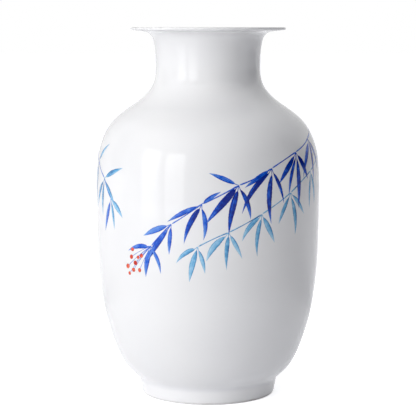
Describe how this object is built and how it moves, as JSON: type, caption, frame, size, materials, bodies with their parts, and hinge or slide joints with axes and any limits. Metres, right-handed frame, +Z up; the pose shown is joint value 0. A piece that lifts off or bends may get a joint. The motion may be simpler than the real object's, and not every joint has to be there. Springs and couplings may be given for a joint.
{
  "type": "baluster vase",
  "caption": "Tall porcelain flower vase with a wide flat everted mouth, waisted neck, egg-shaped belly and recessed foot ring, under clear white glaze.",
  "frame": {"origin": "centre of the foot ring's flat underside, on the vase's axis", "axes": "+Z up along the vase's axis through the mouth; -Y towards the side that the picture shows; +X to the picture's right"},
  "size_m": [0.1826, 0.1826, 0.3],
  "materials": {
    "porcelain_biscuit": "matte",
    "luting_slip": "matte",
    "clear_white_glaze": "gloss",
    "cobalt_paint": "gloss",
    "azure_paint": "gloss",
    "vermilion_paint": "gloss"
  },
  "bodies": {
    "root": {"foot_ring": "porcelain_biscuit", "lower_belly_section": "porcelain_biscuit", "shoulder_section": "porcelain_biscuit", "neck_and_mouth_section": "porcelain_biscuit", "foot_slip_joint": "luting_slip", "belly_slip_joint": "luting_slip", "neck_slip_joint": "luting_slip", "outer_glaze": "clear_white_glaze", "inner_glaze": "clear_white_glaze", "foot_recess_glaze": "clear_white_glaze"}
  },
  "joints": []
}
